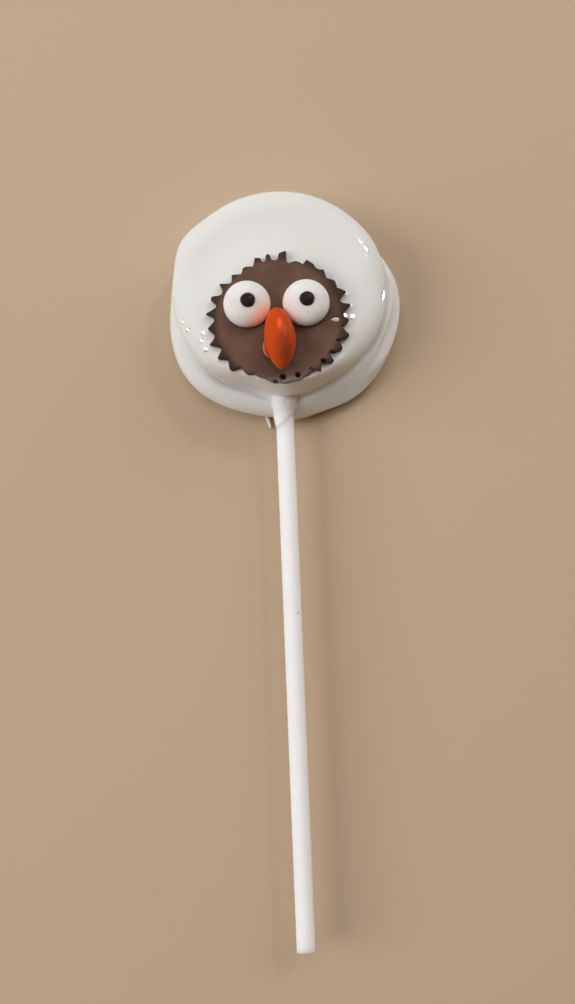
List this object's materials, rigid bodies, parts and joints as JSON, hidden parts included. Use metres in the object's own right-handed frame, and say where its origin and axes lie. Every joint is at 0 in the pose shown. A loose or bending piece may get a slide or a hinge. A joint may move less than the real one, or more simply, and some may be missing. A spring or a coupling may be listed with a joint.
{
  "type": "cake pop",
  "caption": "Flat cake pop lying face up: a white-coated sandwich cookie on a rolled paper stick, with a fluted chocolate slice, domed candy eyes and an orange seed beak as a bird's face.",
  "frame": {"origin": "middle of the flat underside that the coated cookie lies on", "axes": "+Z out of the face, +Y from the stick towards the crown of the head, so the stick runs along -Y; +X to the right as the face is looked at"},
  "size_m": [0.0528, 0.1671, 0.0207],
  "materials": {
    "paper_stick": "matte",
    "white_coating": "gloss",
    "chocolate": "satin",
    "eye_candy": "satin",
    "black_icing": "satin",
    "orange_candy": "gloss"
  },
  "bodies": {
    "root": {"stick": "paper_stick", "coated_cookie": "white_coating", "chocolate_slice": "chocolate", "eye_left": "eye_candy", "pupil_left": "black_icing", "eye_right": "eye_candy", "pupil_right": "black_icing", "beak": "orange_candy"}
  },
  "joints": []
}
